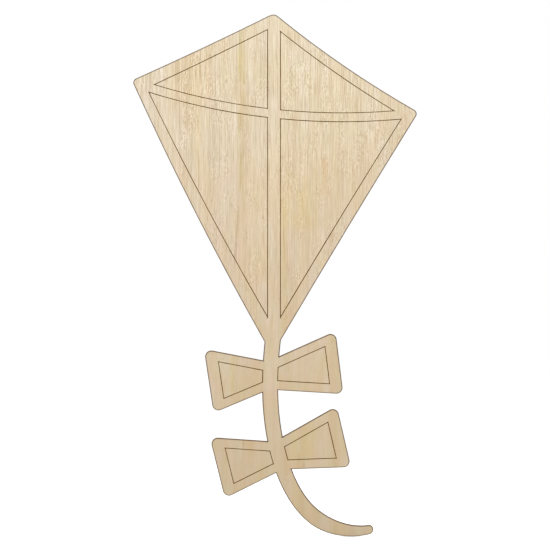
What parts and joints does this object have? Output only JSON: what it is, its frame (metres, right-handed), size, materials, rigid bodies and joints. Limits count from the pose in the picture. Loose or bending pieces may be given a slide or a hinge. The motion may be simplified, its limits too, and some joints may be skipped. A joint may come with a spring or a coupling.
{
  "type": "diamond kite plywood cut-out",
  "caption": "Flat diamond kite blank with a curling tail and bows, laser-cut from thin plywood, its sail and bow panels scored out of the face veneer.",
  "frame": {"origin": "where the two spars cross, on the back face", "axes": "+Z towards the kite's nose, +X to the right seen from the front, the scored face looks along -Y"},
  "size_m": [0.0862, 0.0032, 0.1589],
  "materials": {
    "face_veneer": "bare sanded face veneer, grain upright",
    "face_panels": "bare sanded face veneer, grain upright, edges browned by the laser",
    "core_veneer": "bare core veneer, grain crosswise, browned on the cut edge",
    "back_veneer": "bare sanded back veneer, grain upright",
    "glue": "cured glue, dark brown where the laser cut it"
  },
  "bodies": {
    "root": {"back_veneer": "back_veneer", "back_glue_line": "glue", "core_veneer": "core_veneer", "front_glue_line": "glue", "front_veneer_frame": "face_veneer", "upper_left_sail_panel": "face_panels", "upper_right_sail_panel": "face_panels", "lower_left_sail_panel": "face_panels", "lower_right_sail_panel": "face_panels", "upper_bow_left_panel": "face_panels", "upper_bow_right_panel": "face_panels", "lower_bow_left_panel": "face_panels", "lower_bow_right_panel": "face_panels"}
  },
  "joints": []
}
